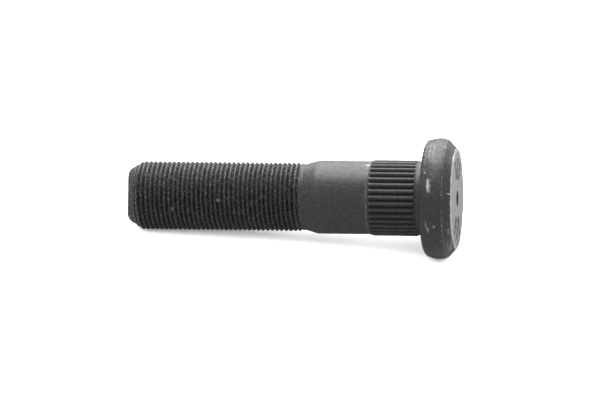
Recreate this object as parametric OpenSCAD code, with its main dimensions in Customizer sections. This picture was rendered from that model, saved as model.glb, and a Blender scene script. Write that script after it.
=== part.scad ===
// Wheel stud: upset head, serrated press-fit collar, plain shank and a rolled fine thread.
// It stands on its head: the end face of the head lies on z = 0 and the thread points up.

/* [Head] */
// Diameter of the head where its barrelled side is widest
head_d = 38.4; // [34:0.2:46]
// Height of the head, from the end face to the seat
head_h = 10; // [8:0.1:13]
// Width of the head's chamfer, from the edge of the end face to the widest radius
head_chamfer_w = 3.4; // [2:0.1:4.5]
// Height of the head's chamfer, measured along the stud
head_chamfer_h = 2.7; // [1.5:0.1:3.5]
// How much narrower the head is at the seat than at its widest
head_barrel = 0.55; // [0.1:0.05:1]
// Radius that rounds the rim of the head at the seat
head_rim_r = 1.6; // [0.6:0.1:2.2]
// Radius of the fillet between the seat and the collar
seat_fillet_r = 0.9; // [0.7:0.1:1.6]

/* [Marks on the end face] */
// Diameter of the centre dimple
dimple_d = 5.2; // [2:0.2:6]
// Depth of the centre dimple
dimple_depth = 1.2; // [0.3:0.1:2]
// Length of each plain stroke
stroke_l = 6.4; // [3:0.2:8]
// Width of each plain stroke
stroke_w = 1.5; // [0.6:0.1:2]
// Depth of each plain stroke
stroke_depth = 0.5; // [0.2:0.1:1]
// Distance from the centre of the face to the middle of a stroke
stroke_place_r = 9.6; // [8:0.2:11]
// Angle between neighbouring strokes
stroke_step = 26; // [18:1:40]

/* [Serrated collar] */
// Diameter over the serrations
serration_d = 24.1; // [23.6:0.1:26]
// Length of the serrated band, with its lead-in and lead-out
serration_l = 15.9; // [8:0.1:24]
// Number of serrations round the collar
serration_n = 36; // [24:1:48]
// Width of the flat crest of a serration
serration_crest_w = 0.3; // [0.1:0.05:0.6]
// Depth of the grooves between the serrations
groove_depth = 0.8; // [0.4:0.05:1]
// Length over which the serrations rise from the shank
lead_in_l = 1.6; // [0.8:0.1:3]
// Length over which the serrations fall to the relief under the head
lead_out_l = 0.7; // [0.3:0.1:1.5]
// Diameter of the smooth relief between the seat and the serrations
relief_d = 23.5; // [23:0.1:23.8]
// Length of the smooth relief between the seat and the serrations
relief_l = 2.1; // [1.6:0.1:6]

/* [Shank] */
// Diameter of the plain shank
shank_d = 23.3; // [22.6:0.1:23.5]
// Length of the plain shank
shank_l = 16.6; // [6:0.2:40]
// Length of the taper between the shank and the thread
taper_l = 3.8; // [2:0.1:8]

/* [Thread] */
// Outer diameter of the thread
thread_d = 22; // [20:0.5:22.5]
// Pitch of the thread
thread_pitch = 1.5; // [1.25:0.25:2]
// Length of the thread, from the taper to the end of the stud
thread_l = 57.2; // [30:0.2:64]
// Turns over which the thread fades out at the taper
runout_turns = 1.5; // [0.5:0.25:3]
// Diameter of the stud's end, where its flat face and its chamfer would meet
tip_d = 16.8; // [12:0.2:18]
// Angle between the chamfer at the end and the stud's axis
tip_chamfer_angle = 32; // [20:1:45]
// Radius that rounds the edge of the stud's end
tip_edge_r = 0.6; // [0.2:0.1:1.5]

/* [Hidden] */
$fn = 96;

// Heights of the sections above the end face of the head
seat_z = head_h;
serration_z = seat_z + relief_l;
shank_z = serration_z + serration_l;
taper_z = shank_z + shank_l;
thread_z = taper_z + taper_l;
tip_z = thread_z + thread_l;

// Radii that follow from the diameters
head_r = head_d / 2;
face_r = head_r - head_chamfer_w;
rim_r = head_r - head_barrel;
shank_r = shank_d / 2;
relief_r = relief_d / 2;
serration_r = serration_d / 2;
crest_r = thread_d / 2;
tip_r = tip_d / 2;

// Thread form: symmetric 60 degree profile with a truncated crest and root
thread_depth = 0.6134 * thread_pitch;
crest_flat = thread_pitch / 8;
root_flat = thread_pitch / 8;
root_r = crest_r - thread_depth;
thread_segments = 28;

// The thread is rolled on a blank that has the pitch diameter
blank_r = crest_r - 0.3248 * thread_pitch;

// The taper's cone carries on under the thread, so that the blank rises out of it
taper_sink = 1;
taper_slope = (shank_r - blank_r) / taper_l;

// Points of an arc round c, from angle a0 to angle a1
arc_steps = 6;
function arc(c, r, a0, a1) =
    [for (i = [0 : arc_steps]) let (a = a0 + (a1 - a0) * i / arc_steps) c + r * [cos(a), sin(a)]];

// Barrelled side of the head: a parabola that is widest half way up
barrel_steps = 8;
barrel_z0 = head_chamfer_h;
barrel_z1 = head_h - head_rim_r;
barrel_mid = (barrel_z0 + barrel_z1) / 2;
function barrel(z) = head_r - head_barrel * pow((z - barrel_mid) / (barrel_z1 - barrel_mid), 2);
barrel_side = [for (i = [0 : barrel_steps])
    let (z = barrel_z0 + (barrel_z1 - barrel_z0) * i / barrel_steps) [barrel(z), z]];

// Half section of the head, collar, shank and taper, as [radius, height]
core_profile = concat(
    [[0, 0], [face_r, 0]],
    barrel_side,
    arc([rim_r - head_rim_r, barrel_z1], head_rim_r, 0, 90),
    arc([relief_r + seat_fillet_r, seat_z + seat_fillet_r], seat_fillet_r, 270, 180),
    [
        [relief_r, serration_z],
        [serration_r, serration_z + lead_out_l],
        [serration_r, shank_z - lead_in_l],
        [shank_r, shank_z],
        [shank_r, taper_z],
        [blank_r - taper_sink * taper_slope, thread_z + taper_sink],
        [0, thread_z + taper_sink]
    ]
);

module core() {
    rotate_extrude() polygon(core_profile);
}

// Groove between two serrations: a V whose bottom rises to a point at both ends
groove_margin = 0.5;
groove_half_w = PI * serration_r / serration_n - serration_crest_w / 2;
module groove() {
    top = serration_r + groove_margin;
    bottom = serration_r - groove_depth;
    half = groove_half_w * (groove_depth + groove_margin) / groove_depth;
    polyhedron(
        points = [
            [top, -half, serration_z],
            [top, half, serration_z],
            [top, half, shank_z],
            [top, -half, shank_z],
            [bottom, 0, serration_z + lead_out_l],
            [bottom, 0, shank_z - lead_in_l]
        ],
        faces = [[0, 3, 2, 1], [0, 1, 4], [2, 3, 5], [1, 2, 5, 4], [3, 0, 4, 5]]
    );
}

module grooves() {
    for (i = [0 : serration_n - 1]) rotate((i + 0.5) * 360 / serration_n) groove();
}

// Right-hand helical ridge with its core, longer than the thread at both ends
// Turns of ridge below the thread: a quarter step off whole steps keeps its corners off the cone
foot_turns = 2 - 1.75 / thread_segments;
turns = floor(thread_l / thread_pitch) + 4;
steps = turns * thread_segments;
ridge_z = thread_z - foot_turns * thread_pitch;
ridge_rise = [0, 0, 1, 1];
flank = (thread_pitch - crest_flat - root_flat) / 2;
ridge_place = [0, root_flat, root_flat + flank, root_flat + flank + crest_flat];

// Share of the full depth that the thread has after i steps
function fade(i) =
    let (t = (i / thread_segments - foot_turns) / runout_turns) min(1, max(0, t));
function ridge_r(i, c) =
    blank_r + fade(i + c * thread_segments / 4) * (root_r + thread_depth * ridge_rise[c] - blank_r);
function ridge_point(i, c) =
    let (a = 360 * i / thread_segments, r = ridge_r(i, c))
    [r * cos(a), r * sin(a), ridge_z + thread_pitch * i / thread_segments + ridge_place[c]];

// Index of corner c at step i; corner 4 is the first corner of the turn above
function at(i, c) = c < 4 ? 4 * i + c : 4 * (i + thread_segments);

module ridge() {
    foot = 4 * (steps + thread_segments + 1);
    head = foot + 1;
    points = concat(
        [for (i = [0 : steps + thread_segments], c = [0 : 3]) ridge_point(i, c)],
        [[0, 0, ridge_z], [0, 0, ridge_z + thread_pitch * (turns + 1)]]
    );
    side = [for (i = [0 : steps - 1], c = [0 : 3])
        each [[at(i, c), at(i, c + 1), at(i + 1, c)], [at(i + 1, c), at(i, c + 1), at(i + 1, c + 1)]]];
    foot_cap = concat(
        [for (i = [0 : thread_segments - 1]) [foot, at(i, 0), at(i + 1, 0)]],
        [for (c = [0 : 3]) [foot, at(0, c + 1), at(0, c)]]
    );
    head_cap = concat(
        [for (i = [0 : thread_segments - 1]) [head, at(steps + i + 1, 0), at(steps + i, 0)]],
        [for (c = [0 : 3]) [head, at(steps, c), at(steps, c + 1)]]
    );
    polyhedron(points = points, faces = concat(side, foot_cap, head_cap));
}

// Room that the thread fills: a cylinder cut off by the chamfer and the end of the stud
room_margin = 0.5;
room_r = crest_r + room_margin;
room_chamfer_l = (room_r - tip_r) / tan(tip_chamfer_angle);
tip_edge_l = tip_edge_r * tan((90 - tip_chamfer_angle) / 2);
room_profile = concat(
    [
        [0, thread_z - thread_pitch / 2],
        [room_r, thread_z - thread_pitch / 2],
        [room_r, tip_z - room_chamfer_l]
    ],
    arc([tip_r - tip_edge_l, tip_z - tip_edge_r], tip_edge_r, tip_chamfer_angle, 90),
    [[0, tip_z]]
);

module thread_room() {
    rotate_extrude() polygon(room_profile);
}

module thread() {
    intersection() {
        ridge();
        thread_room();
    }
}

// Plain strokes in two fans, above and below the centre dimple
module face_marks() {
    rotate_extrude() polygon([[0, -1], [dimple_d / 2, -1], [dimple_d / 2, 0], [0, dimple_depth]]);
    for (side = [0, 180], k = [-1 : 1])
        rotate(side + k * stroke_step)
            translate([stroke_place_r - stroke_l / 2, -stroke_w / 2, -1])
                cube([stroke_l, stroke_w, 1 + stroke_depth]);
}

module wheel_stud() {
    color("#3f3f3e")
        union() {
            difference() {
                core();
                grooves();
                face_marks();
            }
            thread();
        }
}

wheel_stud();
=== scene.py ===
import math

import bpy
import numpy as np
from mathutils import Matrix, Vector


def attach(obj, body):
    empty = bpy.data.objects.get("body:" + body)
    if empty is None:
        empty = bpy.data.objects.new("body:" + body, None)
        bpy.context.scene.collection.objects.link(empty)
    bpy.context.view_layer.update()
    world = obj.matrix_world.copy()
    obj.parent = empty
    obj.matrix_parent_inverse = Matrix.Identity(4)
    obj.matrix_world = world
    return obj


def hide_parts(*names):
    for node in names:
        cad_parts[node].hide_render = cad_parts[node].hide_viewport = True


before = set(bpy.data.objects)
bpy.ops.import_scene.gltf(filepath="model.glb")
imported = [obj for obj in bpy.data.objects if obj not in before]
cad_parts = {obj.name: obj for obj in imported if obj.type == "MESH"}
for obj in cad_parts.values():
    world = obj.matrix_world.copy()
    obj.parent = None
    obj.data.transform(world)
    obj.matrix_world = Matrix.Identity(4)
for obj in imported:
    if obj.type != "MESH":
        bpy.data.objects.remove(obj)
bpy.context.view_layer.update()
print("frame loaded:", sorted(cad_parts))

mm = 0.001  # one millimetre in metres; the shapes below are worked out in millimetres


def linearColour(hexText):
    # sRGB hex to linear: the low part is a straight line, the rest a 2.4 power
    parts = [int(hexText[i:i + 2], 16) / 255 for i in (1, 3, 5)]
    return [c / 12.92 if c <= 0.04045 else ((c + 0.055) / 1.055) ** 2.4 for c in parts] + [1]


stud = {
    "headRadius": 19.2,       # at the widest part of the barrelled side
    "headHeight": 10.0,       # from the end face to the seat
    "faceRadius": 15.8,       # flat end face, up to its worn edge
    "wornEdge": [(-0.12, 0), (0, 0.035), (0.1, 0.12), (0.24, 0.24)],  # steps out and up from there
    "chamferHeight": 2.7,
    "barrel": 0.55,           # how much the side pulls in at both ends
    "rimRound": 1.6,
    "seatInner": 13.2,        # innermost ring of the flat seat
    "seatFillet": 0.9,
    "reliefRadius": 11.75,    # smooth neck between the seat and the serrations
    "reliefStart": 11.2,      # its first ring above the fillet
    "serrationRadius": 12.05,
    "serrationStart": 12.1,
    "serrationEnd": 28.0,
    "serrationCount": 36,
    "grooveDepth": 0.8,
    "grooveLift": 0.05,       # how far rolling leaves the bottom of a groove above a sharp V
    "crestWidth": 0.3,
    "crestSoftness": 0.08,    # width over which a groove's edge is rounded off
    "leadOut": 0.7,
    "leadIn": 1.6,
    "shankRadius": 11.65,
    "shankEnd": 44.6,
    "threadStart": 48.4,
    "threadEnd": 104.6,       # where the helical rows end, inside the end's chamfer
    "threadRadius": 11.0,
    "pitch": 1.5,
    "threadDepth": 0.9,
    "threadRows": [-0.10, -0.045, 0.045, 0.10, 0.25, 0.38, 0.455, 0.545, 0.62, 0.75],  # in pitches
    "flankPlaces": [0.045, 0.10, 0.25, 0.38, 0.46],  # distances from a crest, in pitches
    "flankDepths": [0, 0.07, 0.38, 0.79, 1.08],      # shares of the thread's depth there
    "blankRadius": 10.513,    # the thread rises out of a blank of this radius
    "crestPlace": 51.08,      # height of one crest on the +X side
    "runOut": 2.25,           # length over which the thread gains its full depth
    "tipZ": 105.6,
    "tipRadius": 8.4,
    "tipAngle": 32,           # between the end's chamfer and the axis
    "tipRound": 0.6,
    "tipRings": (7.2, 5.4, 2.5),  # radii on the flat of the thread's end
    "chamferGroove": 0.24,    # how deep the thread's grooves stay across the end's chamfer
    "grooveFade": 1.2,        # length over which they fade out below the helical rows' end
    "columns": 288,           # round the head, collar and shank: 8 for each serration
    "toothColumns": [0, 0.09, 0.17, 0.33, 0.5, 0.67, 0.83, 0.91],  # where those 8 stand in a serration
    "gatherStart": (10.4, 11.4),  # heights between which even columns move to those places
    "gatherEnd": (28.2, 31.5),    # and between which they move back
    "sharpAngle": 50,         # edges between faces that turn by more than this stay sharp
}

marks = {
    "dimpleRadius": 2.6,
    "dimpleDepth": 1.2,
    "strokeLength": 6.4,
    "strokeWidth": 1.5,
    "strokeDepth": 0.5,
    "strokePlace": 9.6,       # distance from the centre to the middle of a stroke
    "strokeStep": 26,         # degrees between neighbouring strokes
    "strokeWall": (-0.12, 0.16),  # a wall falls from outside to inside the stroke's outline
}

forging = {
    "dent": 0.2,              # broad unevenness of the head, sunk into it
    "dentSize": 9.0,
    "pit": 0.08,
    "pitSize": 1.4,
    "pitLevel": 0.2,          # higher leaves fewer pits
    "seatFade": (15, 17),     # radii on the seat between which both set in
    "threadRough": 0.07,      # unevenness of the rolled thread
    "roughSize": 0.75,
    "roughStart": (0.1, 1.1),  # heights above the thread's start between which it sets in
    "trimStart": 5.3,         # a flat worn on the near side of the thread's end, and its slope
    "trimSlope": 0.25,
    "trimRounding": 4,        # higher makes a sharper edge
    "trimReach": (2.6, 0.2),  # depths below the end between which it sets in
    "skinRadius": 8,          # what lies nearer the axis is neither dented nor rubbed
    # Nicks: angle round the stud, height, half length round it, half length along it, depth
    "nicks": [(-85, 0.8, 0.3, 0.7, 0.22), (-113, 7.6, 0.5, 0.35, 0.15),
              (-121, 7.0, 0.6, 0.3, 0.15), (-64, 8.3, 0.3, 0.3, 0.12),
              (-40, 1.2, 2.6, 0.9, 0.3), (-69, 39.4, 0.35, 0.3, 0.14),
              (-96, 31.5, 0.25, 1.3, 0.08), (-98, 75.4, 0.5, 0.3, 0.2),
              (-115, 90.0, 0.7, 0.3, 0.2), (-48, 80.6, 0.6, 0.5, 0.3)],
}

hollows = {
    "groove": 1.5,            # a serration's groove is full of grime and painted shade from its depth divided by this
    "stroke": 8,              # and so is a mark on the end face
    "root": (0.62, 0.9),      # shares of the thread's depth between which grime and painted shade set in
    "chamfer": (-0.1, 0.25),  # and between these depths below the end's chamfer
    "chamferShare": 0.8,      # what the grooves on the chamfer keep
}


def waves(points, size, seed, count=28):
    # Smooth unevenness from -1 to 1: a sum of plane waves of random heading, about size mm long
    rng = np.random.default_rng(seed)
    heading = rng.normal(size=(count, 3))
    heading /= np.linalg.norm(heading, axis=1)[:, None]
    turns = heading * (2 * np.pi / (size * rng.uniform(0.7, 1.6, count)))[:, None]
    phase = rng.uniform(0, 2 * np.pi, count)
    total = sum(np.cos(points @ turns[k] + phase[k]) for k in range(count))
    return total / math.sqrt(count / 2)


def smoothStep(low, high, x):
    # 0 below low, 1 above high, and 3t^2 - 2t^3 between them; a low above high turns it round
    t = np.clip((x - low) / (high - low), 0, 1)
    return t * t * (3 - 2 * t)


def softMin(a, b, width):
    # The lesser of two surfaces, with their crossing rounded off over a width
    h = np.maximum(width - np.abs(a - b), 0) / width
    return np.minimum(a, b) - h * h * width / 4


def arcPoints(centre, radius, start, end, count):
    # Points of a circle's arc in the plane of the half section, as rows of radius and height
    a = np.radians(np.linspace(start, end, count))
    return np.stack([centre[0] + radius * np.cos(a), centre[1] + radius * np.sin(a)], 1)


def evenAngles(columns):
    # Angles of evenly spaced columns, from 0 up to a full turn
    return np.arange(columns) * 2 * np.pi / columns


def aroundAxis(radius, theta, z):
    # Points at a radius from the axis, an angle round it and a height
    return np.stack([radius * np.cos(theta), radius * np.sin(theta), z + 0 * theta], -1)


def spotOffsets(points, place, height):
    # How far round the stud and along it each point lies from a spot, given by angle and height
    x, y, z = points.T
    turned = (np.arctan2(y, x) - math.radians(place) + np.pi) % (2 * np.pi) - np.pi
    return turned * np.hypot(x, y), z - height


def bodyProfile(s):
    # Half section from the edge of the end face to the last ring before the thread: lines and arcs,
    # and a parabola for the barrelled side. Rings stand a little off each corner, so that the
    # shading rounds it
    side0, side1 = s["chamferHeight"], s["headHeight"] - s["rimRound"]
    z = np.linspace(side0, side1, 11)
    middle, half = (side0 + side1) / 2, (side1 - side0) / 2
    side = np.stack([s["headRadius"] - s["barrel"] * ((z - middle) / half) ** 2, z], 1)
    rim = s["headRadius"] - s["barrel"] - s["rimRound"]
    slope = (s["shankRadius"] - s["blankRadius"]) / (s["threadStart"] - s["shankEnd"])
    face, edge, top = s["faceRadius"], side[0], s["serrationRadius"]
    return np.concatenate([
        np.array(s["wornEdge"]) + [face, 0],
        np.linspace([face + 0.45, 0.42], edge - [0.12, 0.13], 6),
        [edge + [0.02, 0.03]],
        side[1:],
        arcPoints((rim, side1), s["rimRound"], 8, 90, 9),
        np.linspace([rim - 0.8, s["headHeight"]], [s["seatInner"], s["headHeight"]], 4),
        arcPoints((s["reliefRadius"] + s["seatFillet"], s["headHeight"] + s["seatFillet"]),
                  s["seatFillet"], 270, 180, 6),
        np.linspace([s["reliefRadius"], s["reliefStart"]],
                    [s["reliefRadius"], s["serrationStart"]], 3),
        np.linspace([s["reliefRadius"] + 0.03, s["serrationStart"] + 0.07],
                    [top - 0.03, s["serrationStart"] + s["leadOut"] - 0.07], 6),
        np.linspace([top, s["serrationStart"] + s["leadOut"] + 0.05],
                    [top, s["serrationEnd"] - s["leadIn"] - 0.05], 12),
        np.linspace([top - 0.025, s["serrationEnd"] - s["leadIn"] + 0.1],
                    [s["shankRadius"] + 0.025, s["serrationEnd"] - 0.1], 12),
        np.linspace([s["shankRadius"], s["serrationEnd"] + 0.05],
                    [s["shankRadius"], s["shankEnd"] - 0.1], 14),
        np.linspace([s["shankRadius"] - 0.06, s["shankEnd"] + 0.15],
                    [s["blankRadius"] + 0.2 * slope, s["threadStart"] - 0.2], 7),
    ])


def grooveFloor(z, fromGroove, s):
    # Radius of a serration's groove: its V flanks, or the ramps that close it at both ends
    lift = 0.5                # the ramps carry on past the crest by this much
    bottom = s["serrationRadius"] - s["grooveDepth"]
    halfWidth = np.pi * s["serrationRadius"] / s["serrationCount"] - s["crestWidth"] / 2
    flank = bottom + s["grooveLift"] + fromGroove * s["grooveDepth"] / halfWidth
    rise = s["grooveDepth"] + lift
    rampOut = bottom + rise * (1 - (z - s["serrationStart"]) / s["leadOut"])
    rampIn = bottom + rise * (1 - (s["serrationEnd"] - z) / s["leadIn"])
    return np.maximum(flank, np.maximum(rampOut, rampIn))


def columnAngles(z, s):
    # Even columns, which gather at the serrations' crests along the collar
    even = evenAngles(s["columns"])
    tooth = np.arange(s["serrationCount"])[:, None] + np.array(s["toothColumns"])
    toothed = (tooth * 2 * np.pi / s["serrationCount"]).ravel()
    share = smoothStep(*s["gatherStart"], z) * (1 - smoothStep(*s["gatherEnd"], z))
    return even + share[:, None] * (toothed - even)


def bodyRows(s, h):
    # Profile carried round the axis, less the serrations' grooves, and the grime and painted shade in
    # them
    profile = bodyProfile(s)
    r, z = profile[:, :1], profile[:, 1:]
    theta = columnAngles(profile[:, 1], s)
    step = 2 * np.pi / s["serrationCount"]
    fromCrest = np.abs((theta / step + 0.5) % 1 - 0.5)
    fromGroove = (0.5 - fromCrest) * step * s["serrationRadius"]
    cut = softMin(r, grooveFloor(z, fromGroove, s), s["crestSoftness"])
    banded = (z >= s["serrationStart"]) & (z <= s["serrationEnd"])
    radius = np.where(banded, cut, r)
    # The grooves' depth sets their grime and also their painted shade
    depth = h["groove"] * (r - radius) / s["grooveDepth"]
    return aroundAxis(radius, theta, z), np.where(banded, np.clip(depth, 0, 1), 0)


def forgedHead(grid, s, f):
    # Pulls the head's skin towards the axis by smooth random amounts, fading out across its seat
    x, y, z = np.moveaxis(grid, -1, 0)
    r = np.hypot(x, y)
    broad = 0.5 + 0.5 * np.clip(waves(grid, f["dentSize"], 11), -1, 1)
    pits = np.clip(waves(grid, f["pitSize"], 12) - f["pitLevel"], 0, 1)
    onSeat = z > s["headHeight"] - 1
    onHead = z < s["headHeight"] + 0.5
    share = np.where(onSeat, smoothStep(*f["seatFade"], r), 1) * onHead
    scale = 1 - share * (f["dent"] * broad + f["pit"] * pits) / r
    return np.stack([x * scale, y * scale, z], -1)


def nicked(points, s, f):
    # Sinks each nick as a round-bottomed dent, and trims the thread's end to a sloping flat
    x, y, z = points.T
    r = np.hypot(x, y)
    sink = 0 * r
    for place, height, halfRound, halfAlong, depth in f["nicks"]:
        around, along = spotOffsets(points, place, height)
        bell = np.exp(-(around / halfRound) ** 2 - (along / halfAlong) ** 2)
        sink = np.maximum(sink, depth * bell)
    rough = np.clip(waves(points, f["roughSize"], 13), 0, 1)
    sink += f["threadRough"] * smoothStep(*f["roughStart"], z - s["threadStart"]) * rough
    scale = np.where(r > f["skinRadius"], 1 - sink / np.maximum(r, 1), 1)
    ramp = np.logaddexp(0, f["trimRounding"] * (-y - f["trimStart"])) / f["trimRounding"]
    nearEnd = smoothStep(*f["trimReach"], s["tipZ"] - z)
    z = z - f["trimSlope"] * ramp * nearEnd
    return np.stack([x * scale, y * scale, z], -1)


def faceDepth(x, y, m):
    # How deep the marks go into the end face: a cone in the middle and two fans of strokes
    r = np.hypot(x, y)
    depth = m["dimpleDepth"] * np.clip(1 - r / m["dimpleRadius"], 0, 1)
    for side in (0, 180):
        for k in (-1, 0, 1):
            a = math.radians(side + k * m["strokeStep"])
            along = x * math.cos(a) + y * math.sin(a) - m["strokePlace"]
            across = -x * math.sin(a) + y * math.cos(a)
            inside = np.minimum(m["strokeLength"] / 2 - np.abs(along),
                                m["strokeWidth"] / 2 - np.abs(across))
            depth = np.maximum(depth, m["strokeDepth"] * smoothStep(*m["strokeWall"], inside))
    return depth


def faceRows(radii, columns, m, h):
    # Rings of the end face, sunk by the depth of its marks, and the grime and painted shade in them
    theta = evenAngles(columns)
    x, y = radii[:, None] * np.cos(theta), radii[:, None] * np.sin(theta)
    depth = faceDepth(x, y, m)
    return np.stack([x, y, depth], -1), np.clip(h["stroke"] * depth / m["strokeDepth"], 0, 1)


def threadRadius(z, theta, s, h):
    # Radius over the crests, less a depth that follows from the distance to the nearest crest and
    # sets in over the run-out. The end's chamfer cuts it off, but the rolling dies carry the
    # grooves on across the chamfer for a little
    turnHere = (z - s["crestPlace"]) / s["pitch"] - theta / (2 * np.pi)
    fromCrest = np.abs((turnHere + 0.5) % 1 - 0.5)
    share = np.interp(fromCrest, s["flankPlaces"], s["flankDepths"])
    full = s["threadRadius"] - s["threadDepth"] * share
    fade = np.clip((z - s["threadStart"]) / s["runOut"], 0, 1)
    radius = s["blankRadius"] + fade * (full - s["blankRadius"])
    chamfer = s["tipRadius"] + (s["tipZ"] - z) * math.tan(math.radians(s["tipAngle"]))
    rolled = 1 - smoothStep(s["threadEnd"] - s["grooveFade"], s["threadEnd"], z)
    inside = smoothStep(*h["chamfer"], chamfer - radius)
    # The roots' depth sets their grime and also their painted shade
    hollow = fade * smoothStep(*h["root"], share) * np.maximum(inside, h["chamferShare"] * rolled)
    return np.minimum(radius, chamfer - s["chamferGroove"] * share * rolled), hollow


def threadGrid(s, h, columns):
    # Rows that climb one pitch each turn; row k of a pitch has a fixed place on the profile
    start, end = s["threadStart"], s["threadEnd"]
    margin = 0.03             # rows this close to an end lie on it
    first = math.floor((start - s["crestPlace"]) / s["pitch"]) - 2
    pitches = math.ceil((end - start) / s["pitch"]) + 4
    along = (first + np.arange(pitches)[:, None] + np.array(s["threadRows"])).ravel()
    theta = evenAngles(columns)
    z = s["crestPlace"] + s["pitch"] * (along[:, None] + theta / (2 * np.pi))
    z = np.where(z < start + margin, start, z)
    z = np.where(z > end - margin, end, z)
    radius, hollow = threadRadius(z, theta, s, h)

    # Above and below its ends each column stays at one vertex
    low = (z <= start).sum(0) - 1
    high = (z < end).sum(0)
    rows = np.clip(np.arange(len(along))[:, None], low, high)
    index = rows * columns + np.arange(columns)
    seam = np.minimum(np.arange(len(along)) + len(s["threadRows"]), len(along) - 1)
    closed = np.concatenate([index, index[seam, :1]], 1)
    return aroundAxis(radius, theta, z), hollow, index, closed


def tipProfile(s):
    # Half section of the end: the rest of the chamfer, its rounded edge and the flat face
    a, firstZ = s["tipAngle"], s["threadEnd"]
    inset = s["tipRound"] * math.tan(math.radians((90 - a) / 2))
    centre = (s["tipRadius"] - inset, s["tipZ"] - s["tipRound"])
    arc = arcPoints(centre, s["tipRound"], a, 90, 6)
    r = s["tipRadius"] + (s["tipZ"] - firstZ) * math.tan(math.radians(a))
    chamfer = np.linspace([r, firstZ], arc[0], 4)[1:-1]
    return np.concatenate([chamfer, arc, [[ring, s["tipZ"]] for ring in s["tipRings"][:-1]]])


# The mesh grows from the centre of the end face to the centre of the thread's end
skin = {"points": [], "hollow": [], "faces": [], "count": 0}


def addPoints(points, hollow):
    # Adds a block of vertices and returns their numbers in the same layout
    shape = points.shape[:-1]
    count = int(np.prod(shape))
    skin["points"].append(points.reshape(-1, 3))
    skin["hollow"].append(np.broadcast_to(hollow, shape).ravel())
    skin["count"] += count
    return np.arange(skin["count"] - count, skin["count"]).reshape(shape)


def rowQuads(index):
    # Four-sided faces between neighbouring rows and columns of vertex numbers
    quads = np.stack([index[:-1, :-1], index[:-1, 1:], index[1:, 1:], index[1:, :-1]], -1)
    return quads.reshape(-1, 4)


def closeRows(index):
    # Faces between neighbouring rings, closed round the axis
    skin["faces"].append(rowQuads(np.concatenate([index, index[:, :1]], 1)))


def joinRings(lower, upper):
    # Faces between two rings, where one may have twice the columns of the other
    if len(lower) == len(upper):
        closeRows(np.stack([lower, upper]))
        return
    wide, narrow = (lower, upper) if len(lower) > len(upper) else (upper, lower)
    a, b, c = wide[0::2], wide[1::2], np.roll(wide, -2)[0::2]
    d, e = narrow, np.roll(narrow, -1)
    three = np.concatenate([np.stack(t, 1) for t in ((a, b, d), (b, e, d), (b, c, e))])
    if wide is not lower:
        three = three[:, ::-1]
    skin["faces"].append(three)


def capRing(ring, height, upwards):
    # Three-sided faces from a ring to the pole in its middle
    pole = addPoints(np.array([[0, 0, height]], float), 0)[0]
    three = np.stack([np.roll(ring, -1), ring, np.full(len(ring), pole)], 1)
    skin["faces"].append(three[:, ::-1] if upwards else three)


def buildFace(s, m, h):
    # End face: a quarter, then half, then all of the columns, as its rings get longer.
    # The outer rings crowd at both ends of the strokes
    innerRadii = np.array([0.5, 1.0, 1.5, 2.0, 2.4, 2.6, 2.8])
    middleRadii = np.array([3.2, 4.0, 5.0])
    outerRadii = np.concatenate([np.arange(6.0, 6.9, 0.15), np.arange(7.3, 12.3, 0.5),
                                 np.arange(12.4, 13.1, 0.15), [13.6, 14.4, 15.0, 15.25]])
    bands = [addPoints(*faceRows(radii, s["columns"] // share, m, h))
             for radii, share in ((innerRadii, 4), (middleRadii, 2), (outerRadii, 1))]
    capRing(bands[0][0], m["dimpleDepth"], False)
    for k, band in enumerate(bands):
        if k:
            joinRings(bands[k - 1][-1], band[0])
        closeRows(band)
    return bands[-1][-1]


def buildStud(s, m, f, h):
    # Grows ring by ring, and returns the thread's faces apart, since some of them have no width
    faceEdge = buildFace(s, m, h)

    # Head, collar and shank
    grid, bodyHollow = bodyRows(s, h)
    body = addPoints(forgedHead(grid, s, f), bodyHollow)
    joinRings(faceEdge, body[0])
    closeRows(body)

    # Thread, with half the columns
    columns = s["columns"] // 2
    base = skin["count"]
    points, hollow, index, closed = threadGrid(s, h, columns)
    addPoints(points, hollow)
    joinRings(body[-1], index[0] + base)

    # End of the thread, whose middle has half of those columns
    profile = tipProfile(s)
    end = addPoints(aroundAxis(profile[:, :1], evenAngles(columns), profile[:, 1:]), 0)
    joinRings(index[-1] + base, end[0])
    closeRows(end)
    core = addPoints(aroundAxis(s["tipRings"][-1], evenAngles(columns // 2), s["tipZ"]), 0)
    joinRings(end[-1], core)
    capRing(core, s["tipZ"], True)
    return rowQuads(closed) + base


def tidyFaces(threadQuads):
    # Quads whose corners coincide become triangles or go
    a, b, c, d = threadQuads.T
    whole = (a != b) & (b != c) & (c != d) & (d != a)
    split = np.concatenate([threadQuads[~whole][:, [0, 1, 2]], threadQuads[~whole][:, [0, 2, 3]]])
    x, y, z = split.T
    split = split[(x != y) & (y != z) & (z != x)]
    return [threadQuads[whole], split]


threadQuads = buildStud(stud, marks, forging, hollows)
skin["faces"] += tidyFaces(threadQuads)
points = nicked(np.concatenate(skin["points"]), stud, forging)
hollow = np.concatenate(skin["hollow"])

# Drop the vertices that no face uses
used = np.zeros(len(points), bool)
for part in skin["faces"]:
    used[part.ravel()] = True
number = np.cumsum(used) - 1
points, hollow = points[used], hollow[used]
faces = [row for part in skin["faces"] for row in number[part].tolist()]
print("stud:", len(points), "vertices,", len(faces), "faces")


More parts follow.
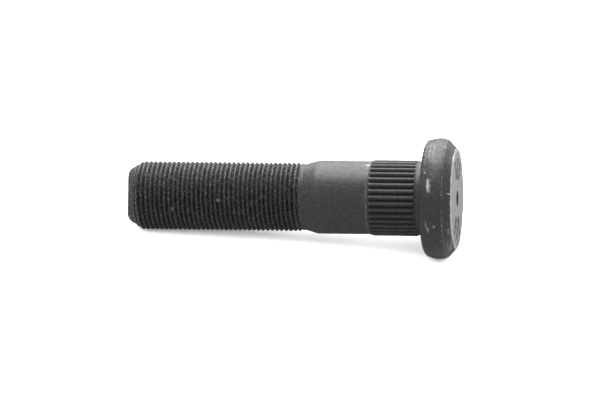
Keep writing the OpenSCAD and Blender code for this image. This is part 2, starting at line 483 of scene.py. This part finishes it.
rubbing = {
    # How far the coat is rubbed off, or painted paler as sheen, at each place, where steel shows from
    # about 0.5, and the least share of that which its patches leave
    # faceEdge, face and leadIn paint highlights and sheen on top of the rubbing
    "faceEdge": (1.35, 0.8),
    "face": (0.7, 0.8),
    "sideEdge": (0.5, 0.65),  # between the head's chamfer and its side
    "leadIn": (0.5, 0.6),     # the serrations' ends towards the shank: a painted highlight
    "serrations": (0.12, 0),
    "tipEdge": (0.5, 0),
    "crests": 0.15,           # specks on the thread's crests
    "patchSize": 2.5,
    "speckSize": 0.9,
    # Scuffs: angle round the stud, height, half length round it, half length along it, strength
    "scuffs": [(-77, 7.1, 2.2, 0.5, 1.25), (-81, 6.8, 1.4, 0.65, 0.97),
               (-116, 7.9, 1.6, 0.35, 0.68), (-124, 2.7, 11.0, 0.14, 0.53),
               (-60, 2.7, 5.0, 0.12, 0.2), (-122, 7.2, 1.0, 0.4, 0.87),
               (-118, 5.2, 0.5, 0.5, 0.87), (-64, 8.3, 0.35, 0.35, 1.25),
               (-36, 7.5, 5.0, 0.35, 0.57), (-40, 6.1, 4.5, 0.3, 0.45),
               (-29, 27.7, 0.45, 0.45, 1.06), (-98, 75.4, 0.6, 0.3, 1.25),
               (-115, 90.2, 0.9, 0.25, 1.25), (-85, 0.8, 0.25, 0.75, 1.16),
               (-128, 1.0, 1.5, 0.4, 0.65), (-92, 4.6, 0.4, 0.4, 0.49),
               (-135, 3.4, 0.6, 0.5, 0.45), (-150, 0.9, 3.0, 0.3, 0.6),
               (-146, 1.7, 2.5, 0.25, 0.49), (-157, 1.4, 2.0, 0.5, 0.59)],
}


def wearAndSheenMap(points, s, f, k):
    # Greatest of the edges' bands, the scuffs' round spots and the face's even wear. On the face, its
    # edge and the serrations' ends this also paints sheen and highlights
    x, y, z = points.T
    r = np.hypot(x, y)
    patchy = np.clip(0.6 + 0.5 * waves(points, k["patchSize"], 21), 0, 1)
    collar = (z > s["serrationStart"] + 0.1) & (z < s["serrationEnd"])
    nearFace = r - s["faceRadius"]
    places = {
        "faceEdge": smoothStep(-0.8, -0.6, nearFace) * smoothStep(0.5, 0.25, z),
        "face": z < 0.01,
        "sideEdge": np.exp(-((z - s["chamferHeight"]) / 0.2) ** 2) * (nearFace > -0.8),
        "leadIn": np.exp(-((z - s["serrationEnd"] + 0.3) / 0.4) ** 2),
        "serrations": collar * smoothStep(-0.12, -0.02, r - s["serrationRadius"]),
        "tipEdge": (z > s["tipZ"] - 0.7) * smoothStep(-1, -0.4, r - s["tipRadius"]),
    }
    wearAndSheen = 0 * r
    for name, share in places.items():
        strength, least = k[name]
        wearAndSheen = np.maximum(wearAndSheen, strength * share * (least + (1 - least) * patchy))
    specks = np.clip(0.4 + 0.6 * waves(points, k["speckSize"], 22), 0, 1.4)
    crests = (z > s["threadStart"] + 0.6) * smoothStep(-0.6, -0.1, r - s["threadRadius"])
    wearAndSheen = np.maximum(wearAndSheen, k["crests"] * crests * specks)
    for place, height, halfRound, halfAlong, strength in k["scuffs"]:
        around, along = spotOffsets(points, place, height)
        spot = np.exp(-(around / halfRound) ** 4 - (along / halfAlong) ** 4)
        wearAndSheen = np.maximum(wearAndSheen, strength * spot * (r > f["skinRadius"]))
    return wearAndSheen


wearAndSheen = wearAndSheenMap(points, stud, forging, rubbing)
coarse = smoothStep(-0.4, 1.1, points[:, 2] - stud["threadStart"])  # 0 on the shank, 1 on the thread

mesh = bpy.data.meshes.new("wheelStud")
mesh.from_pydata((points * mm).tolist(), [], faces)
for name, values in (("hollow", hollow), ("wearAndSheen", wearAndSheen), ("coarse", coarse)):
    layer = mesh.attributes.new(name, "FLOAT", "POINT")
    layer.data.foreach_set("value", values.astype(np.float32))
mesh.shade_smooth()
mesh.set_sharp_from_angle(angle=math.radians(stud["sharpAngle"]))
piece = bpy.data.objects.new("wheelStud", mesh)
bpy.context.scene.collection.objects.link(piece)
print("wear: steel shows at", int((wearAndSheen > 0.5).sum()), "vertices")


def addNode(tree, kind, settings=None, inputs=()):
    # One node with its settings; inputs go by name or in order, each a value or a socket to link
    node = tree.nodes.new(kind)
    for name, value in (settings or {}).items():
        setattr(node, name, value)
    pairs = inputs.items() if isinstance(inputs, dict) else enumerate(inputs)
    for name, value in pairs:
        if isinstance(value, bpy.types.NodeSocket):
            tree.links.new(value, node.inputs[name])
        else:
            node.inputs[name].default_value = value
    return node


coat = {
    "dark": "#1f1f1f",
    "light": "#343433",
    "grimeAndShade": "#0d0d0d",       # what stays in grooves and thread roots: grime, and painted shade
    "crystalAndSheen": "#5a5a58",     # paler crystals painted as if they catch the light, and the coat where it is rubbed thin or painted with sheen
    "steel": "#c8c8c6",       # bare steel on worn edges
    "steelRoughness": 0.28,
    "hollowRoughness": 0.8,
    "crystalSize": 0.36,      # real ones are 0.05 mm, too fine to see, so these are drawn coarser
    "clumpSize": 0.576,       # clumps of crystals
    "clumpDetail": 2,
    "cloudSize": 3.2,         # the coat's mottle
    "cloudDetail": 5,
    "cloudRoughness": 0.62,
    "clumpsInMottle": 0.5,    # the rest of it is clouds
    "crystalsInBump": 0.55,   # the rest of it is clumps
    "bump": 0.03,
    "threadDarkening": 0.3,       # how much darker the whole thread is made
    # Ramps: a straight line between two inputs, the first two numbers, and two outputs, the others
    "mottleRamp": (0.36, 0.64, 0, 1),   # from dark to light
    "brightRamp": (0.6, 1, 0, 0.6),     # some crystals catch the light
    "hollowRamp": (0.15, 0.85, 0, 1),   # grime and painted shade
    "thinRamp": (0.1, 0.9, 0, 0.6),     # rubbing pales the coat before steel shows; the same layer also paints sheen
    "clumpRamp": (0.3, 0.7, 0, 0.5),    # how much sooner clumps are rubbed through
    "steelRamp": (0.55, 1.6, 0, 1),     # from coat to bare steel
    "glintRamp": (0.8, 1, 0, 0.38),     # some of the thread's crystals shine like steel
    "roughRamp": (0, 1, 0.34, 0.5),     # each crystal has a roughness of its own
    "coarseRamp": (0, 1, 1, 2.2),       # how much rougher the coat is on the thread
}


def phosphateCoat(c):
    # Zinc phosphate, grown on the steel in a hot bath: a dark grey coat of fine crystals, mottled,
    # that glitters faintly, is painted black in hollows as grime and shade, shows steel where it is
    # rubbed through, and is painted paler as sheen on the end face and its edges
    material = bpy.data.materials.new("zincPhosphatedSteel")
    material.use_nodes = True
    tree = material.node_tree
    tree.nodes.clear()
    place = addNode(tree, "ShaderNodeTexCoord").outputs["Object"]
    hollowHere, wearAndSheenHere, coarseHere = [
        addNode(tree, "ShaderNodeAttribute", {"attribute_name": name}).outputs["Fac"]
        for name in ("hollow", "wearAndSheen", "coarse")]
    cloud = addNode(tree, "ShaderNodeTexNoise", None, {
        "Vector": place, "Scale": 1 / (c["cloudSize"] * mm),
        "Detail": c["cloudDetail"], "Roughness": c["cloudRoughness"]}).outputs["Fac"]
    clump = addNode(tree, "ShaderNodeTexNoise", None, {
        "Vector": place, "Scale": 1 / (c["clumpSize"] * mm),
        "Detail": c["clumpDetail"]}).outputs["Fac"]
    cells = addNode(tree, "ShaderNodeTexVoronoi", None, {
        "Vector": place, "Scale": 1 / (c["crystalSize"] * mm), "Randomness": 1})
    lot = addNode(tree, "ShaderNodeSeparateColor", None, [cells.outputs["Color"]]).outputs
    mottle = addNode(tree, "ShaderNodeMix", None,
                     {0: c["clumpsInMottle"], 2: cloud, 3: clump}).outputs[0]
    sources = {"mottle": mottle, "bright": lot[0], "rough": lot[1], "glint": lot[2], "clump": clump,
               "hollow": hollowHere, "thin": wearAndSheenHere, "coarse": coarseHere}
    ramp = {name: addNode(tree, "ShaderNodeMapRange", None, [source, *c[name + "Ramp"]]).outputs[0]
            for name, source in sources.items()}

    # Grime and painted shade: all of it in the hollows, and a darkening over the whole thread
    # The whole thread is made a little darker
    threadDarkShare = addNode(tree, "ShaderNodeMath", {"operation": "MULTIPLY"},
                   [coarseHere, c["threadDarkening"]]).outputs[0]
    grimeAndShadeShare = addNode(tree, "ShaderNodeMath", {"operation": "MAXIMUM"}, [ramp["hollow"], threadDarkShare]).outputs[0]

    # Bare steel: where the coat is rubbed through, and in the thread's glints
    rubbed = addNode(tree, "ShaderNodeMath", {"operation": "ADD"}, [wearAndSheenHere, ramp["clump"]]).outputs[0]
    rubbed = addNode(tree, "ShaderNodeMapRange", None, [rubbed, *c["steelRamp"]]).outputs[0]
    glint = addNode(tree, "ShaderNodeMath", {"operation": "MULTIPLY"},
                    [ramp["glint"], coarseHere]).outputs[0]
    bare = addNode(tree, "ShaderNodeMath", {"operation": "MAXIMUM"}, [rubbed, glint]).outputs[0]

    # Colour: each layer lies over the ones before it
    colour = linearColour(c["dark"])
    # The grime layer also paints shade in the hollows
    for share, layer in ((ramp["mottle"], "light"), (ramp["bright"], "crystalAndSheen"), (grimeAndShadeShare, "grimeAndShade"),
                         (ramp["thin"], "crystalAndSheen"), (bare, "steel")):
        # The pale layer from rubbing also paints sheen on the face, its edge and the serrations' ends
        colour = addNode(tree, "ShaderNodeMix", {"data_type": "RGBA"},
                         {0: share, 6: colour, 7: linearColour(c[layer])}).outputs[2]

    # Roughness, and a bump whose height is part clumps and part crystals
    roughness = ramp["rough"]
    for share, value in ((ramp["hollow"], c["hollowRoughness"]), (wearAndSheenHere, c["steelRoughness"])):
        roughness = addNode(tree, "ShaderNodeMix", None, {0: share, 2: roughness, 3: value}).outputs[0]
    height = addNode(tree, "ShaderNodeMix", None,
                     {0: c["crystalsInBump"], 2: clump, 3: lot[2]}).outputs[0]
    height = addNode(tree, "ShaderNodeMath", {"operation": "MULTIPLY"},
                     [height, ramp["coarse"]]).outputs[0]
    bump = addNode(tree, "ShaderNodeBump", None,
                   {"Strength": 1, "Distance": c["bump"] * mm, "Height": height})
    shader = addNode(tree, "ShaderNodeBsdfPrincipled", None, {
        "Base Color": colour, "Roughness": roughness, "Metallic": bare, "IOR": 1.5,
        "Normal": bump.outputs["Normal"]})
    addNode(tree, "ShaderNodeOutputMaterial", None, [shader.outputs["BSDF"]])
    return material


mesh.materials.append(phosphateCoat(coat))
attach(piece, "root")
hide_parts("wheel_stud")
print("coat:", mesh.materials[0].name)


stage = {
    "headRest": 5.35,         # heights along the stud where the floor touches it
    "threadRest": 101.3,
    "facing": 29.0,           # degrees by which the floor turns up towards the camera
    "halfSize": 3000,
    "middle": 50,             # height along the stud that the floor and the lamps are centred on
    "paper": "#fafafa",
    "underside": "#505050",   # what light bounces off, so that the stud's underside stays dark
    "mirrored": "#818181",    # the table's colour where it is seen in the stud's gloss
    "glow": 0.25,             # light that the table itself gives, as a photographer's light table does
    "glowStart": 90,          # distances from the middle between which the glow rises to full white
    "glowEnd": 300,
    "fill": 0.3,              # light from the world
}


def floorPlane(s, t):
    # Plane under the head's widest ring and the end of the thread, as its normal and its offset
    fall = s["headRadius"] - s["threadRadius"]
    tilt = math.atan2(fall, t["threadRest"] - t["headRest"])
    facing = math.radians(t["facing"])
    normal = Vector((math.cos(facing) * math.cos(tilt), -math.sin(facing) * math.cos(tilt),
                     -math.sin(tilt)))
    return normal, normal.z * t["headRest"] - s["headRadius"] * math.cos(tilt)


def paperTable(centre, t):
    # White paper on a light table: matt, glowing away from the stud, and see-through from behind
    material = bpy.data.materials.new("paperFloor")
    material.use_nodes = True
    tree = material.node_tree
    tree.nodes.clear()
    place = addNode(tree, "ShaderNodeTexCoord").outputs["Object"]
    distance = addNode(tree, "ShaderNodeVectorMath", {"operation": "DISTANCE"},
                       [place, centre * mm]).outputs["Value"]
    glow = addNode(tree, "ShaderNodeMapRange", {"interpolation_type": "SMOOTHSTEP"},
                   [distance, t["glowStart"] * mm, t["glowEnd"] * mm, t["glow"], 1]).outputs[0]
    path = addNode(tree, "ShaderNodeLightPath").outputs
    bounced = addNode(tree, "ShaderNodeMath", {"operation": "MAXIMUM"},
                      [path["Is Glossy Ray"], path["Is Transmission Ray"]]).outputs[0]
    glowSeen = addNode(tree, "ShaderNodeMath", {"operation": "MULTIPLY"},
                       [glow, path["Is Camera Ray"]]).outputs[0]
    colour = linearColour(t["underside"])
    for share, layer in ((bounced, "mirrored"), (path["Is Camera Ray"], "paper")):
        colour = addNode(tree, "ShaderNodeMix", {"data_type": "RGBA"},
                         {0: share, 6: colour, 7: linearColour(t[layer])}).outputs[2]
    paper = addNode(tree, "ShaderNodeBsdfDiffuse", None, {"Color": colour}).outputs[0]
    light = addNode(tree, "ShaderNodeEmission", None, {"Strength": glowSeen}).outputs[0]
    top = addNode(tree, "ShaderNodeAddShader", None, [paper, light]).outputs[0]
    clear = addNode(tree, "ShaderNodeBsdfTransparent").outputs[0]
    behind = addNode(tree, "ShaderNodeNewGeometry").outputs["Backfacing"]
    both = addNode(tree, "ShaderNodeMixShader", None, [behind, top, clear]).outputs[0]
    addNode(tree, "ShaderNodeOutputMaterial", None, [both])
    return material


def buildFloor(s, t):
    # One large square in the floor's plane, with two sides along the stud
    normal, offset = floorPlane(s, t)
    along = (Vector((0, 0, 1)) - normal * normal.z).normalized()
    across = normal.cross(along)
    centre = normal * offset + along * t["middle"]
    corners = [centre + (along * a + across * b) * t["halfSize"]
               for a, b in ((-1, -1), (1, -1), (1, 1), (-1, 1))]
    floorMesh = bpy.data.meshes.new("floor")
    floorMesh.from_pydata([c * mm for c in corners], [], [(0, 1, 2, 3)])
    if floorMesh.polygons[0].normal.dot(normal) < 0:
        floorMesh.flip_normals()
    floorMesh.materials.append(paperTable(centre, t))
    floor = bpy.data.objects.new("floor", floorMesh)
    bpy.context.scene.collection.objects.link(floor)
    return floor


# Strength is the brightness of a lamp's own face, where 1 is white
lamps = {
    "overhead": {"aim": (1, -0.08, 0.02), "distance": 600, "size": (480, 560),
                 "strength": 5.0, "lights": "stud"},
    "behind": {"aim": (0.96, 0.68, -0.14), "distance": 900, "size": (1200, 450),
               "strength": 2.7, "lights": "stud"},
    "table": {"aim": (0.82, -0.56, -0.08), "distance": 500, "size": (1400, 1400),
              "strength": 4.8, "lights": "table"},
}


def addLamp(name, lamp, middle, receivers):
    # Area lamp that faces the stud's middle; its watts are 4 times the strength and the area
    data = bpy.data.lights.new(name, "AREA")
    data.shape = "RECTANGLE"
    data.size, data.size_y = lamp["size"][0] * mm, lamp["size"][1] * mm
    data.energy = 4 * lamp["strength"] * data.size * data.size_y
    aim = Vector(lamp["aim"]).normalized()
    lampObject = bpy.data.objects.new(name, data)
    lampObject.location = Vector((0, 0, middle * mm)) + aim * lamp["distance"] * mm
    side = Vector((0, 0, 1)).cross(aim).normalized()
    lampObject.rotation_euler = Matrix((side.cross(aim), side, aim)).transposed().to_euler()
    lampObject.visible_camera = False
    lampObject.light_linking.receiver_collection = receivers[lamp["lights"]]
    bpy.context.scene.collection.objects.link(lampObject)


def setWorld(fill):
    # White where it is seen or mirrored, and a plain fill light otherwise
    world = bpy.data.worlds.new("studio")
    bpy.context.scene.world = world
    world.use_nodes = True
    tree = world.node_tree
    tree.nodes.clear()
    path = addNode(tree, "ShaderNodeLightPath").outputs
    seen = path["Is Camera Ray"]
    for ray in ("Is Glossy Ray", "Is Transmission Ray"):
        seen = addNode(tree, "ShaderNodeMath", {"operation": "MAXIMUM"}, [seen, path[ray]]).outputs[0]
    strength = addNode(tree, "ShaderNodeMapRange", None, [seen, 0, 1, fill, 1]).outputs[0]
    light = addNode(tree, "ShaderNodeBackground", None, {"Color": (1, 1, 1, 1), "Strength": strength})
    addNode(tree, "ShaderNodeOutputWorld", None, [light.outputs[0]])


camera = {
    "place": (-1.03, -1165.2, -147.45),  # past the head, level with the axis
    "lens": 222.397,
    "turn": 9.6438,           # degrees off square, towards the end face
    "roll": 0.6851,
    "clip": (50, 20000),
}


def placeCamera(c):
    # Looks along +Y with the stud's axis across the picture, then turns and rolls
    turn, roll = math.radians(c["turn"]), math.radians(c["roll"])
    back = Vector((0, -math.cos(turn), -math.sin(turn)))
    right = Vector((0, math.sin(turn), -math.cos(turn)))
    up = Vector((1, 0, 0))
    rolledRight = right * math.cos(roll) + up * math.sin(roll)
    rolledUp = up * math.cos(roll) - right * math.sin(roll)
    data = bpy.data.cameras.new("camera")
    data.lens = c["lens"]
    data.sensor_width = 36
    data.clip_start, data.clip_end = [distance * mm for distance in c["clip"]]
    cameraObject = bpy.data.objects.new("camera", data)
    turned = Matrix((rolledRight, rolledUp, back)).transposed().to_4x4()
    turned.translation = Vector(c["place"]) * mm
    cameraObject.matrix_world = turned
    bpy.context.scene.collection.objects.link(cameraObject)
    bpy.context.scene.camera = cameraObject


floor = buildFloor(stud, stage)
receivers = {}  # each lamp lights the table alone, or all but the table
for name, state in (("table", "INCLUDE"), ("stud", "EXCLUDE")):
    receivers[name] = bpy.data.collections.new(name + "Light")
    receivers[name].objects.link(floor)
    receivers[name].collection_objects[0].light_linking.link_state = state
for name, lamp in lamps.items():
    addLamp(name, lamp, stage["middle"], receivers)
setWorld(stage["fill"])
placeCamera(camera)
bpy.context.scene.view_settings.view_transform = "Standard"
print("stage, lamps and camera set")
